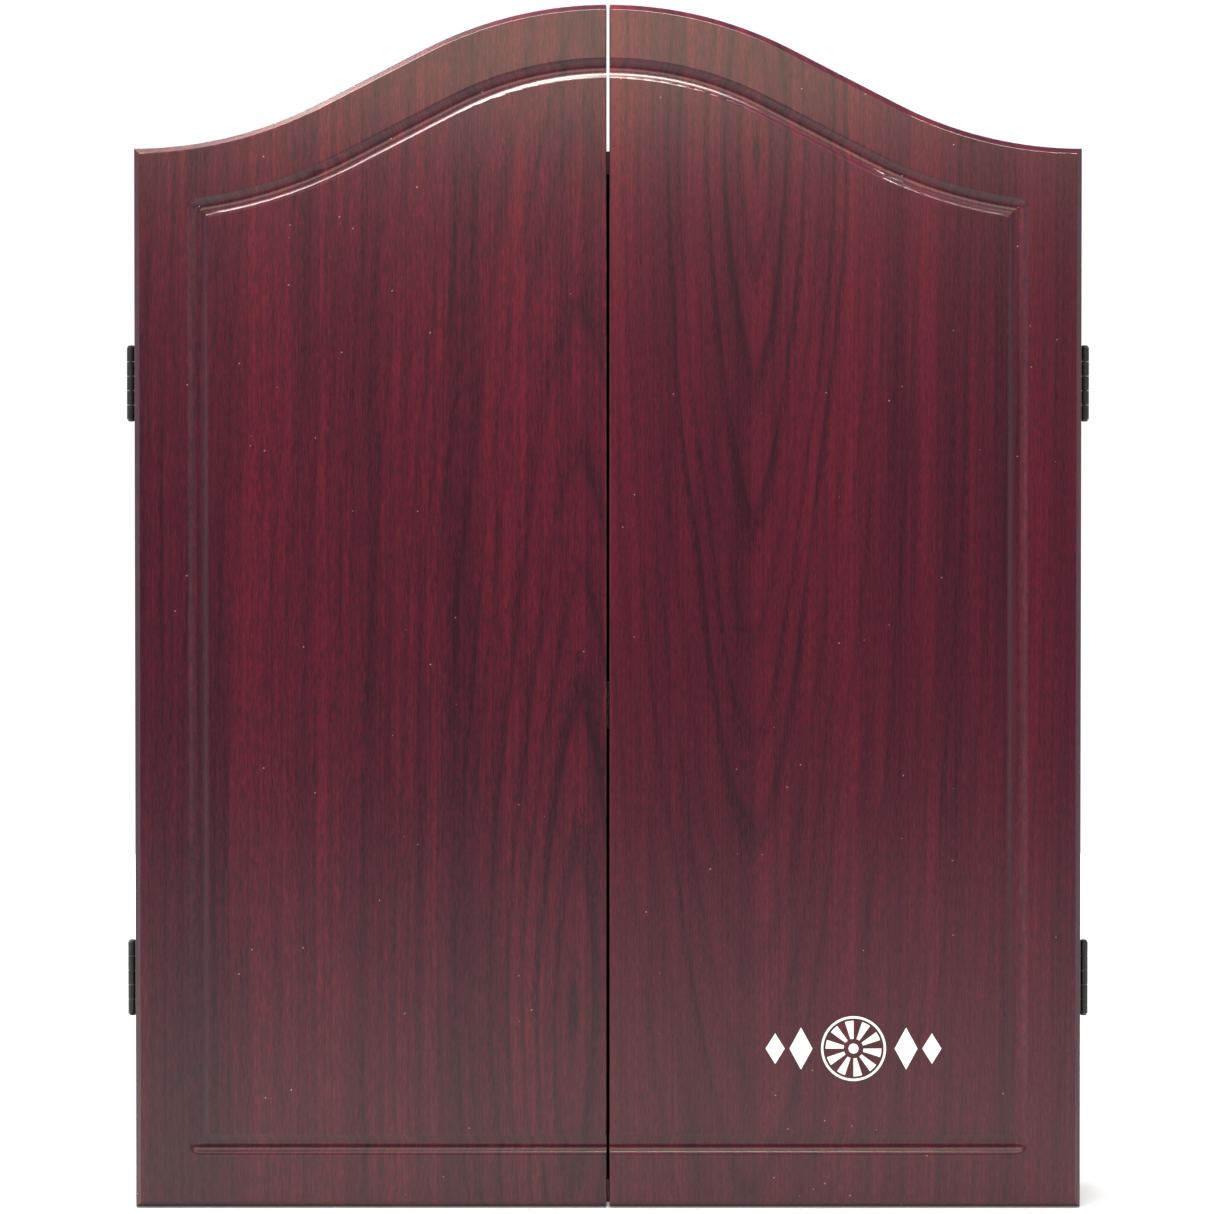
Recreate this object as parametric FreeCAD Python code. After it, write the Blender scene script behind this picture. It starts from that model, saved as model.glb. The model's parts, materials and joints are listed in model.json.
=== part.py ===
"""Dart board cabinet: a shallow wall case with two arched, foil-wrapped doors on butt hinges.

Millimetres. +X is the viewer's right, +Y points into the wall, +Z is up.
The origin is on the wall plane, behind the centre of the board.
The doors are drawn closed. Right-hand pieces are drawn first and mirrored for the left.
"""

import FreeCAD, Part

import math
import os

from FreeCAD import Rotation, Vector

# ---------------------------------------------------------------- driving dimensions
CASE_W = 495.0  # outside width of the case and of the closed pair of doors
CASE_H = 554.0  # outside height of the case, and of a door at its hinged edge
CASE_D = 72.0  # wall plane to the case's front edges
BOARD_T = 12.0  # side, top and bottom boards
BACK_T = 5.0  # back panel
RABBET_W = 6.0  # the step in the boards that takes the back panel
EDGE_R = 0.8  # eased outer edges of the case

DOOR_T = 15.0
DOOR_GAP = 2.0  # between the case's front edges and the doors' backs
SEAM_GAP = 1.5  # between the two doors
ARCH_RISE = 75.0  # crown of the doors above their hinged edges
CROWN_R = 209.0  # convex arc at the middle of the arch
SHOULDER_R = 211.0  # concave arc that runs out level at the hinged edge
BEVEL = 3.0  # front edges of the doors
BEVEL_SOFT_R = 0.8  # where a bevel meets its door's front and edge
SEAM_R = 0.8  # front edges of the doors along the seam

GROOVE_INSET = 33.5  # groove's centre line to the door's edge
GROOVE_W = 9.6
GROOVE_DEPTH = 2.1
GROOVE_RIM_R = 2.6
GROOVE_CREASE_DEG = 12.0  # the rim meets the door's face at this angle
GROOVE_CLEAR = 0.5  # the cutter's section ends this far in front of the face
GROOVE_PAST_SEAM = -5.0  # where the cutter leaves the door

HINGE_Z = {"upper": 155.0, "lower": -158.0}
HINGE_L = 38.0
KNUCKLES = 5
KNUCKLE_R = 2.3
KNUCKLE_GAP = 0.25
AXIS_OUT = 3.3  # hinge axis outside the case's side
LEAF_T = 0.9
LEAF_W = 14.6  # hinge axis to a leaf's free edge
PIN_R = 1.2
PIN_CLEARANCE = 0.05
PIN_HEAD_R = 1.8
PIN_HEAD_H = 1.1
LEAF_SCREW_Z = 11.5  # leaf screws above and below the hinge's middle

BOARD_R = 225.5  # the dart board that the case is made for
WALL_HOLE_X = 200.0
WALL_HOLE_Z = 235.0
WALL_HOLE_R = 2.75
WASHER_R = 8.0

BRACKET_W = 40.0
BRACKET_FLANGE = 14.0
BRACKET_BOTTOM = -30.0
BRACKET_TOP = 32.0
BRACKET_T = 1.5
BRACKET_OUT = 6.0  # front of the bracket's raised pad before the back panel
HOOK_R = 4.0  # half the width of the bracket's slot
HOOK_MOUTH = 7.5  # half the width of the slot's flared mouth
BRACKET_HOLE_Z = 20.0

CATCH_X = 30.0  # catches are this far each side of the seam
CATCH_L = 42.0
CATCH_BODY_L = 27.0
CATCH_D = 14.0
CATCH_H = 12.5
CATCH_EAR_H = 3.0
POLE_T = 1.2
POLE_OUT = 0.9  # pole plates before the case's front edges
STRIKE_W = 30.0
STRIKE_H = 14.0
STRIKE_T = 1.0

SCORE_W = 214.0
SCORE_X = 119.0
SCORE_BOTTOM = -100.0
SCORE_TOP = 238.0
SCORE_T = 2.5
SCORE_CORNER_R = 6.0
SCORE_SCREW_IN = 8.0

RACK_W = 96.0
RACK_X = 119.0
RACK_TOP = -140.0  # top of the shelf
RACK_SHELF_T = 9.0
RACK_D = 24.0
RACK_PLATE_T = 3.0
RACK_PLATE_H = 30.0
RACK_RIB_T = 2.5
RACK_RIB = 15.0
RACK_CORNER_R = 8.0
DART_HOLE_R = 4.5
DART_PITCH = 30.0
DART_OUT = 13.5  # dart holes before the door's back

BUMPER_R = 4.0
BUMPER_T = 1.9
BUMPER_X = 60.0

DOWEL_R = 3.0
DOWEL_L = 29.0
DOWEL_IN_SIDE = 9.0
DOWEL_Y = (-52.0, -22.0)

EMBLEM_X = 128.5
EMBLEM_Z = -193.5
EMBLEM_T = 0.3
EMBLEM_R = 17.0

# ---------------------------------------------------------------- derived places
HALF_W = CASE_W / 2
HALF_H = CASE_H / 2
INNER_X = HALF_W - BOARD_T
INNER_Z = HALF_H - BOARD_T
CASE_FRONT = -CASE_D
BACK_FRONT = -BACK_T
DOOR_BACK = CASE_FRONT - DOOR_GAP
DOOR_FRONT = DOOR_BACK - DOOR_T
AXIS_X = HALF_W + AXIS_OUT
AXIS_Y = CASE_FRONT - DOOR_GAP / 2
CROWN_Z = HALF_H + ARCH_RISE
EDGE_MID_X = HALF_W - BOARD_T / 2  # middle of a side board's front edge

OUT_OF_DOOR = Vector(0, 1, 0)  # from a door towards the case
OUT_OF_CASE = Vector(0, -1, 0)  # from the case towards the room
MIRROR = Vector(1, 0, 0)


# ---------------------------------------------------------------- plain shapes
def box(x, y, z):
    """A box between two values on each axis."""
    low = Vector(min(x), min(y), min(z))
    return Part.makeBox(abs(x[1] - x[0]), abs(y[1] - y[0]), abs(z[1] - z[0]), low)


def rod(radius, start, end):
    """A cylinder between two points."""
    along = end - start
    return Part.makeCylinder(radius, along.Length, start, along)


def turned(profile):
    """A solid of revolution about local +Z from (radius, height) points."""
    points = [Vector(r, 0, h) for r, h in profile]
    face = Part.Face(Part.makePolygon(points + [points[0]]))
    return face.revolve(Vector(0, 0, 0), Vector(0, 0, 1), 360)


def placed(shape, at, facing):
    """A copy of a shape with its local origin at a point and its local +Z along a direction."""
    moved = shape.copy()
    moved.Placement = FreeCAD.Placement(at, Rotation(Vector(0, 0, 1), facing))
    return moved


def mirrored(shape):
    """The left-hand copy of a right-hand shape."""
    return shape.mirror(Vector(0, 0, 0), MIRROR)


def edges_in_plane(shape, axis, value):
    """The edges that lie wholly in the plane where one coordinate has a value."""
    found = []
    for edge in shape.Edges:
        limits = edge.BoundBox
        low = getattr(limits, axis + "Min")
        high = getattr(limits, axis + "Max")
        if abs(low - value) < 1e-4 and abs(high - value) < 1e-4:
            found.append(edge)
    return found


def plate_with_round_corners(x, y, z, radius):
    """A plate in the XZ plane, with its four corners rounded."""
    plate = box(x, y, z)
    corners = [e for e in plate.Edges if abs(e.BoundBox.YLength - abs(y[1] - y[0])) < 1e-6]
    return plate.makeFillet(radius, corners)


# ---------------------------------------------------------------- fasteners
def cross_recess(head_r, depth):
    """Two crossed bars that cut a driver's recess into a head, below height 0."""
    long, wide = head_r * 0.62, head_r * 0.15
    bars = box((-long, long), (-wide, wide), (-depth, depth))
    return bars.fuse(box((-wide, wide), (-long, long), (-depth, depth)))


def countersunk_blank(head_r, shank_r, length):
    """A countersunk screw without its recess: head flush at height 0, shank along -Z."""
    cone = head_r - shank_r
    tip = length - 2 * shank_r
    return turned([(0, 0), (head_r, 0), (shank_r, -cone), (shank_r, -tip), (0, -length)])


def pan_blank(head_r, head_h, shank_r, length):
    """A pan-head screw without its recess: underside of the head at height 0."""
    tip = length - 2 * shank_r
    rim = head_h * 0.55
    profile = [(0, head_h), (head_r * 0.55, head_h), (head_r * 0.88, head_h * 0.86), (head_r, rim)]
    profile += [(head_r, 0), (shank_r, 0), (shank_r, -tip), (0, -length)]
    return turned(profile)


def countersunk_screw(head_r, shank_r, length):
    return countersunk_blank(head_r, shank_r, length).cut(cross_recess(head_r, head_r * 0.3))


def pan_screw(head_r, head_h, shank_r, length):
    recess = cross_recess(head_r, head_h * 0.45).translated(Vector(0, 0, head_h))
    return pan_blank(head_r, head_h, shank_r, length).cut(recess)


class Fastening:
    """One size of fastener at several places: its solids, and the holes that they fill."""

    def __init__(self, screw, blank, places, facing):
        self.solids = [placed(screw, at, facing) for at in places]
        self.blanks = [placed(blank, at, facing) for at in places]

    def drill(self, shape):
        """A copy of a shape with a hole where each fastener goes."""
        return shape.cut(self.blanks)

    def mirrored(self):
        twin = Fastening.__new__(Fastening)
        twin.solids = [mirrored(s) for s in self.solids]
        twin.blanks = [mirrored(b) for b in self.blanks]
        return twin


def countersunk(head_r, shank_r, length, places, facing):
    screw = countersunk_screw(head_r, shank_r, length)
    return Fastening(screw, countersunk_blank(head_r, shank_r, length), places, facing)


def pan(head_r, head_h, shank_r, length, places, facing):
    screw = pan_screw(head_r, head_h, shank_r, length)
    return Fastening(screw, pan_blank(head_r, head_h, shank_r, length), places, facing)


# ---------------------------------------------------------------- case
def side_board():
    """The right side board, with the step for the back panel and its outer front edge eased."""
    board = box((INNER_X, HALF_W), (CASE_FRONT, 0), (-HALF_H, HALF_H))
    outer = [e for e in edges_in_plane(board, "X", HALF_W) if e.BoundBox.YMin < -1]
    board = board.makeFillet(EDGE_R, [e for e in outer if e.BoundBox.YLength < 1])
    step_z = INNER_Z + RABBET_W
    step = box((INNER_X, INNER_X + RABBET_W), (BACK_FRONT, 0), (-step_z, step_z))
    return board.cut(step)


def end_board(up):
    """The top board (up = 1) or the bottom board (up = -1), held between the sides."""
    board = box((-INNER_X, INNER_X), (CASE_FRONT, 0), (up * INNER_Z, up * HALF_H))
    step = box((-INNER_X, INNER_X), (BACK_FRONT, 0), (up * INNER_Z, up * (INNER_Z + RABBET_W)))
    return board.cut(step)


def back_panel():
    x, z = INNER_X + RABBET_W, INNER_Z + RABBET_W
    panel = box((-x, x), (BACK_FRONT, 0), (-z, z))
    for at in wall_points():
        panel = panel.cut(rod(WALL_HOLE_R, at - OUT_OF_DOOR, at + OUT_OF_DOOR * 2 * BACK_T))
    return panel


def wall_points():
    """Where the four wall screws pass the back panel's front face."""
    return [Vector(sx * WALL_HOLE_X, BACK_FRONT, sz * WALL_HOLE_Z) for sx in (-1, 1) for sz in (-1, 1)]


def corner_dowels():
    """Two wooden dowels in each of the case's four corners."""
    start = INNER_X + DOWEL_IN_SIDE
    middle = INNER_Z + BOARD_T / 2
    dowels = []
    for sx in (-1, 1):
        for sz in (-1, 1):
            for y in DOWEL_Y:
                outer = Vector(sx * start, y, sz * middle)
                dowels.append(rod(DOWEL_R, outer, outer - MIRROR * sx * DOWEL_L))
    return dowels


def back_nails():
    """Panel nails round the back panel's edge, flush with its rear face."""
    x, z = INNER_X + RABBET_W / 2, INNER_Z + RABBET_W / 2
    places = [Vector(sx * x, 0, row * 120) for sx in (-1, 1) for row in (-2, -1, 0, 1, 2)]
    places += [Vector(column * 105, 0, sz * z) for sz in (-1, 1) for column in (-2, -1, 0, 1, 2)]
    nail = turned([(0, 0), (1.9, 0), (0.8, -1.2), (0.8, -16.4), (0, -18)])
    return Fastening(nail, nail, places, OUT_OF_DOOR)


def wall_washers():
    """Cup washers that spread the wall screws' heads on the back panel."""
    flare, thickness = WALL_HOLE_R + 0.3, 1.0
    ring = [(flare, 0), (WASHER_R, 0), (WASHER_R - 0.6, thickness)]
    ring += [(flare + 3.2, thickness + 1.2), (flare + 2.4, thickness + 1.2), (flare, thickness)]
    return [placed(turned(ring), at, OUT_OF_CASE) for at in wall_points()]


def board_bracket():
    """The pressed steel bracket that a dart board's centre screw drops into."""
    half = BRACKET_W / 2
    z = (BRACKET_BOTTOM, BRACKET_TOP)
    front = BACK_FRONT - BRACKET_OUT
    shape = box((-half, half), (front, front + BRACKET_T), z)
    for sx in (-1, 1):
        shape = shape.fuse(box((sx * (half - BRACKET_T), sx * half), (front, BACK_FRONT), z))
        flange = (sx * (half - BRACKET_T), sx * (half + BRACKET_FLANGE))
        shape = shape.fuse(box(flange, (BACK_FRONT - BRACKET_T, BACK_FRONT), z))
    shape = shape.removeSplitter()
    flare_z = BRACKET_TOP - HOOK_MOUTH
    through = Vector(0, 2 * BRACKET_T, 0)
    slot = [
        Vector(-HOOK_R, front - 1, 0),
        Vector(-HOOK_R, front - 1, flare_z),
        Vector(-HOOK_MOUTH, front - 1, BRACKET_TOP + 1),
        Vector(HOOK_MOUTH, front - 1, BRACKET_TOP + 1),
        Vector(HOOK_R, front - 1, flare_z),
        Vector(HOOK_R, front - 1, 0),
    ]
    shape = shape.cut(Part.Face(Part.makePolygon(slot + [slot[0]])).extrude(through))
    return shape.cut(rod(HOOK_R, Vector(0, front - 1, 0), Vector(0, front - 1, 0) + through))


def bracket_screws():
    x = BRACKET_W / 2 + BRACKET_FLANGE / 2
    y = BACK_FRONT - BRACKET_T
    places = [Vector(sx * x, y, sz * BRACKET_HOLE_Z) for sx in (-1, 1) for sz in (-1, 1)]
    return pan(3.6, 2.2, 1.75, BACK_T + BRACKET_T - 0.4, places, OUT_OF_CASE)


def door_bumpers():
    """Rubber buttons on the case's front edges, which the doors close against."""
    z = INNER_Z + BOARD_T / 2
    flank = [(BUMPER_R, 0), (BUMPER_R - 0.3, BUMPER_T - 0.7), (BUMPER_R - 1.2, BUMPER_T)]
    bumper = turned([(0, 0)] + flank + [(0, BUMPER_T)])
    places = [Vector(sx * BUMPER_X, CASE_FRONT, sz * z) for sx in (-1, 1) for sz in (-1, 1)]
    return [placed(bumper, at, OUT_OF_CASE) for at in places]


# ---------------------------------------------------------------- magnetic catches
def catch_parts():
    """The right-hand catch: its housing, magnet, two pole plates and screws."""
    x, half, body = CATCH_X, CATCH_L / 2, CATCH_BODY_L / 2
    front = CASE_FRONT + 0.6
    back = front + CATCH_D
    housing = box((x - half, x + half), (front, back), (INNER_Z - CATCH_EAR_H, INNER_Z))
    housing = housing.fuse(box((x - body, x + body), (front, back), (INNER_Z - CATCH_H, INNER_Z)))
    upright = [e for e in housing.removeSplitter().Edges if abs(e.BoundBox.ZLength) > 1]
    housing = housing.removeSplitter().makeFillet(0.8, upright)
    pocket = (x - body + 3, x + body - 3)
    floor, roof = INNER_Z - CATCH_H + 2, INNER_Z - CATCH_EAR_H + 0.4
    pocket_back = back - 2
    housing = housing.cut(box(pocket, (front - 1, pocket_back), (floor, roof)))
    play = 0.1
    wide = (pocket[0] + play, pocket[1] - play)
    pole_y = (CASE_FRONT - POLE_OUT, pocket_back - play)
    poles = [
        box(wide, pole_y, (floor + play, floor + play + POLE_T)),
        box(wide, pole_y, (roof - play - POLE_T, roof - play)),
    ]
    magnet_z = (floor + 2 * play + POLE_T, roof - 2 * play - POLE_T)
    magnet = box(wide, (front + 0.2, pocket_back - play), magnet_z)
    ear = (half + body) / 2
    under = INNER_Z - CATCH_EAR_H
    places = [Vector(x + s * ear, (front + back) / 2, under) for s in (-1, 1)]
    screws = pan(2.6, 1.6, 1.3, CATCH_EAR_H + 9, places, Vector(0, 0, -1))
    return screws.drill(housing), magnet, poles, screws


def strike_parts():
    """The right-hand strike plate on the door's back, and its screws."""
    half = STRIKE_W / 2
    middle = INNER_Z - CATCH_H / 2 + 1
    z = (middle - STRIKE_H / 2, middle + STRIKE_H / 2)
    face = DOOR_BACK + STRIKE_T
    plate = plate_with_round_corners((CATCH_X - half, CATCH_X + half), (DOOR_BACK, face), z, 2.0)
    places = [Vector(CATCH_X + s * (half - 3.6), face, middle) for s in (-1, 1)]
    screws = countersunk(2.2, 1.2, 10, places, OUT_OF_DOOR)
    return screws.drill(plate), screws


# ---------------------------------------------------------------- hinges
def knuckle_spans(z):
    """The height range of each knuckle, from the top down."""
    pitch = HINGE_L / KNUCKLES
    top = z + HINGE_L / 2
    gap = KNUCKLE_GAP / 2
    return [(top - (i + 1) * pitch + gap, top - i * pitch - gap) for i in range(KNUCKLES)]


def hinge_leaf(z, on_case):
    """A right-hand leaf: a plate on the wood, with every other knuckle rolled round the pin."""
    inward = AXIS_X - LEAF_W
    if on_case:
        y = (CASE_FRONT, CASE_FRONT - LEAF_T)
    else:
        y = (DOOR_BACK, DOOR_BACK + LEAF_T)
    half = HINGE_L / 2
    leaf = box((inward, AXIS_X), y, (z - half, z + half))
    corners = [e for e in leaf.Edges if e.BoundBox.YLength > LEAF_T / 2 and e.BoundBox.XMax < inward + 1]
    leaf = leaf.makeFillet(2.0, corners)
    reach = KNUCKLE_R + 0.3
    for i, (low, high) in enumerate(knuckle_spans(z)):
        ends = Vector(AXIS_X, AXIS_Y, low), Vector(AXIS_X, AXIS_Y, high)
        if (i % 2 == 0) == on_case:
            leaf = leaf.fuse(rod(KNUCKLE_R, *ends))
        else:
            gap_z = (low - KNUCKLE_GAP, high + KNUCKLE_GAP)
            air = box((AXIS_X - reach, AXIS_X + 1), (y[0] - 3, y[0] + 3), gap_z)
            leaf = leaf.cut(air)
    bore = PIN_R + PIN_CLEARANCE
    hole = rod(bore, Vector(AXIS_X, AXIS_Y, z - half - 1), Vector(AXIS_X, AXIS_Y, z + half + 1))
    return leaf.cut(hole).removeSplitter()


def hinge_pin(z):
    """The pin, headed over at both ends."""
    half = HINGE_L / 2
    edge = PIN_HEAD_R * 0.6
    top = half + PIN_HEAD_H
    profile = [(0, -top), (edge, -top), (PIN_HEAD_R, -top + 0.4), (PIN_HEAD_R, -half), (PIN_R, -half)]
    profile += [(PIN_R, half), (PIN_HEAD_R, half), (PIN_HEAD_R, top - 0.4), (edge, top), (0, top)]
    return turned(profile).translated(Vector(AXIS_X, AXIS_Y, z))


def leaf_screws(on_case):
    """The right-hand leaf screws of both hinges, in the case's edge or in the door."""
    if on_case:
        y, facing, length = CASE_FRONT - LEAF_T, OUT_OF_CASE, 15.0
    else:
        y, facing, length = DOOR_BACK + LEAF_T, OUT_OF_DOOR, 12.5
    places = [Vector(EDGE_MID_X, y, z + s * LEAF_SCREW_Z) for z in HINGE_Z.values() for s in (-1, 1)]
    return countersunk(2.4, 1.3, length, places, facing)


# ---------------------------------------------------------------- doors
class Arch:
    """Two arcs joined by their common tangent, for a curve set in from the door's edge."""

    def __init__(self, inset):
        self.crown_r = CROWN_R - inset
        self.shoulder_r = SHOULDER_R + inset
        self.crown = Vector(0, 0, CROWN_Z - CROWN_R)
        self.shoulder = Vector(HALF_W, 0, HALF_H + SHOULDER_R)
        between = self.shoulder - self.crown
        slope = math.atan2(between.z, between.x)
        turn = math.acos((CROWN_R + SHOULDER_R) / between.Length)
        self.angle = slope + turn  # direction from the crown's centre to where its arc ends
        outward = Vector(math.cos(self.angle), 0, math.sin(self.angle))
        self.crown_end = self.crown + outward * self.crown_r
        self.shoulder_start = self.shoulder - outward * self.shoulder_r

    def on_crown(self, x):
        return Vector(x, 0, self.crown.z + math.sqrt(self.crown_r**2 - x**2))

    def on_shoulder(self, x):
        return Vector(x, 0, self.shoulder.z - math.sqrt(self.shoulder_r**2 - (self.shoulder.x - x) ** 2))


def midway(centre, radius, a, b):
    """The point halfway along an arc between two points."""
    return centre + ((a + b) / 2 - centre).normalize() * radius


def door_outline():
    """The right door's outline, in the plane of its back."""
    arch = Arch(0)
    inner = SEAM_GAP / 2
    top, end = arch.on_crown(inner), arch.on_shoulder(HALF_W)
    crown = Part.Arc(top, midway(arch.crown, arch.crown_r, top, arch.crown_end), arch.crown_end)
    bend = midway(arch.shoulder, arch.shoulder_r, arch.shoulder_start, end)
    shoulder = Part.Arc(arch.shoulder_start, bend, end)
    low_out, low_in = Vector(HALF_W, 0, -HALF_H), Vector(inner, 0, -HALF_H)
    lines = [(arch.crown_end, arch.shoulder_start), (end, low_out), (low_out, low_in), (low_in, top)]
    edges = [crown.toShape(), shoulder.toShape()] + [Part.makeLine(a, b) for a, b in lines]
    wire = Part.Wire(Part.__sortEdges__(edges))
    return Part.Face(wire).translated(Vector(0, DOOR_BACK, 0))


def groove_points():
    """Half the groove's section as (across, out of the face): round bottom, rim, then clear."""
    nose_r = (GROOVE_W**2 / 4 + GROOVE_DEPTH**2) / (2 * GROOVE_DEPTH)
    nose_up = nose_r - GROOVE_DEPTH
    rim_across = math.sqrt((nose_r + GROOVE_RIM_R) ** 2 - (nose_up + GROOVE_RIM_R) ** 2)
    lean = math.atan2(rim_across, nose_up + GROOVE_RIM_R)
    crease = math.radians(GROOVE_CREASE_DEG)

    def on_nose(angle):
        return nose_r * math.sin(angle), nose_up - nose_r * math.cos(angle)

    def on_rim(angle):
        return rim_across - GROOVE_RIM_R * math.sin(angle), GROOVE_RIM_R * (math.cos(angle) - 1)

    rim_end = on_rim(crease)
    clear = (rim_end[0] + (GROOVE_CLEAR - rim_end[1]) / math.tan(crease), GROOVE_CLEAR)
    return on_nose(0), on_nose(lean / 2), on_nose(lean), on_rim((lean + crease) / 2), rim_end, clear


def groove_section(at, across, whole=True):
    """The cutter's section, or its right half, standing across its path at a point."""

    def put(point, side=1):
        in_face = Vector(at.x, DOOR_FRONT, at.z) + across * (side * point[0])
        return in_face + OUT_OF_CASE * point[1]

    def flank(side):
        rim = Part.Arc(put(nose_end, side), put(rim_mid, side), put(rim_end, side)).toShape()
        return [rim, Part.makeLine(put(rim_end, side), put(clear, side))]

    bottom, bend, nose_end, rim_mid, rim_end, clear = groove_points()
    if whole:
        nose = Part.Arc(put(nose_end, -1), put(bottom), put(nose_end)).toShape()
        top = Part.makeLine(put(clear), put(clear, -1))
        edges = flank(1) + flank(-1) + [nose, top]
    else:
        nose = Part.Arc(put(bottom), put(bend), put(nose_end)).toShape()
        axis_top = put((0, clear[1]))
        edges = flank(1) + [nose, Part.makeLine(put(clear), axis_top), Part.makeLine(axis_top, put(bottom))]
    return Part.Face(Part.Wire(Part.__sortEdges__(edges)))


def groove_cutters():
    """The cutter's sweeps: over the arch, down the hinged side, along the bottom, and at corners."""
    arch = Arch(GROOVE_INSET)
    side, low = HALF_W - GROOVE_INSET, -HALF_H + GROOVE_INSET
    top_corner, low_corner = arch.on_shoulder(side), Vector(side, 0, low)
    seam_end = Vector(GROOVE_PAST_SEAM, 0, low)

    def straight(start, end):
        along = end - start
        return groove_section(start, OUT_OF_DOOR.cross(along).normalize()).extrude(along)

    def curved(centre, start, end):
        first, last = start - centre, end - centre
        turn = math.degrees(math.atan2(first.z, first.x) - math.atan2(last.z, last.x))
        section = groove_section(start, Vector(first).normalize())
        return section.revolve(Vector(centre.x, DOOR_FRONT, centre.z), OUT_OF_DOOR, turn)

    def spot(at):
        half = groove_section(at, MIRROR, whole=False)
        return half.revolve(Vector(at.x, DOOR_FRONT, at.z), OUT_OF_DOOR, 360)

    return [
        curved(arch.crown, arch.on_crown(GROOVE_PAST_SEAM), arch.crown_end),
        straight(arch.crown_end, arch.shoulder_start),
        curved(arch.shoulder, arch.shoulder_start, top_corner),
        straight(low_corner, top_corner),
        straight(seam_end, low_corner),
        spot(top_corner),
        spot(low_corner),
    ]


def door_panel():
    """The right door: bevelled front edges, and a groove that frames its field."""
    door = door_outline().extrude(OUT_OF_CASE * DOOR_T)
    beside_seam = SEAM_GAP / 2 + 1

    def front_edges(depth):
        return [e for e in edges_in_plane(door, "Y", depth) if e.BoundBox.XMax > beside_seam]

    door = door.makeChamfer(BEVEL, front_edges(DOOR_FRONT))
    door = door.makeFillet(BEVEL_SOFT_R, front_edges(DOOR_FRONT) + front_edges(DOOR_FRONT + BEVEL))
    at_seam = [e for e in edges_in_plane(door, "Y", DOOR_FRONT) if e.BoundBox.XMax < beside_seam]
    door = door.makeFillet(SEAM_R, at_seam)
    for cutter in groove_cutters():
        door = door.cut(cutter)
    return door


def scoreboard_parts():
    """The right scoreboard on the door's back, and its corner screws."""
    half = SCORE_W / 2
    face = DOOR_BACK + SCORE_T
    x, z = (SCORE_X - half, SCORE_X + half), (SCORE_BOTTOM, SCORE_TOP)
    sheet = plate_with_round_corners(x, (DOOR_BACK, face), z, SCORE_CORNER_R)
    inset = SCORE_SCREW_IN
    columns, rows = (x[0] + inset, x[1] - inset), (z[0] + inset, z[1] - inset)
    places = [Vector(column, face, row) for column in columns for row in rows]
    screws = pan(2.8, 1.5, 1.2, SCORE_T + 8, places, OUT_OF_DOOR)
    return screws.drill(sheet), screws


def rack_parts():
    """The right dart rack on the door's back, and its screws."""
    half = RACK_W / 2
    x = (RACK_X - half, RACK_X + half)
    shelf_z = (RACK_TOP - RACK_SHELF_T, RACK_TOP)
    plate_face = DOOR_BACK + RACK_PLATE_T
    shelf = box(x, (DOOR_BACK, DOOR_BACK + RACK_D), shelf_z)
    front = [e for e in shelf.Edges if e.BoundBox.ZLength > 1 and e.BoundBox.YMin > DOOR_BACK + 1]
    shelf = shelf.makeFillet(RACK_CORNER_R, front)
    plate = box(x, (DOOR_BACK, plate_face), (RACK_TOP - 1, RACK_TOP + RACK_PLATE_H))
    top = [e for e in plate.Edges if e.BoundBox.YLength > 1 and e.BoundBox.ZMin > RACK_TOP]
    rack = shelf.fuse(plate.makeFillet(RACK_CORNER_R, top))
    for start in (x[0], x[1] - RACK_RIB_T):
        corner = Vector(start, plate_face - 0.5, RACK_TOP - 0.5)
        side = [corner, corner + Vector(0, RACK_RIB, 0), corner + Vector(0, 0, RACK_RIB)]
        rib = Part.Face(Part.makePolygon(side + [corner])).extrude(Vector(RACK_RIB_T, 0, 0))
        rack = rack.fuse(rib)
    rack = rack.removeSplitter()
    for at in dart_holes():
        rack = rack.cut(rod(DART_HOLE_R, at - Vector(0, 0, 2 * RACK_SHELF_T), at + Vector(0, 0, 1)))
    places = [Vector(RACK_X + s * 36.0, plate_face, RACK_TOP + 20.0) for s in (-1, 1)]
    screws = pan(3.2, 1.8, 1.4, RACK_PLATE_T + 9, places, OUT_OF_DOOR)
    return screws.drill(rack), screws


def dart_holes():
    """The top of each dart hole's axis in the right rack."""
    return [Vector(RACK_X + i * DART_PITCH, DOOR_BACK + DART_OUT, RACK_TOP) for i in (-1, 0, 1)]


def lozenge(x, half_w, half_h):
    """A flat diamond in the emblem's own plane."""
    points = [Vector(x - half_w, 0, 0), Vector(x, 0, half_h)]
    points += [Vector(x + half_w, 0, 0), Vector(x, 0, -half_h)]
    return Part.Face(Part.makePolygon(points + [points[0]])).extrude(Vector(0, -EMBLEM_T, 0))


def ring(outer_r, inner_r):
    """A flat ring in the emblem's own plane."""
    tube = rod(outer_r, Vector(0, 0, 0), Vector(0, -EMBLEM_T, 0))
    return tube.cut(rod(inner_r, Vector(0, 1, 0), Vector(0, -2, 0)))


def sector(outer_r, inner_r, start, sweep):
    """A slice of a flat ring."""
    wedge = Part.makeCylinder(outer_r, EMBLEM_T, Vector(0, 0, 0), Vector(0, -1, 0), sweep)
    core = rod(inner_r, Vector(0, 1, 0), Vector(0, -2, 0))
    return wedge.cut(core).rotated(Vector(0, 0, 0), Vector(0, 1, 0), start)


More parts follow.
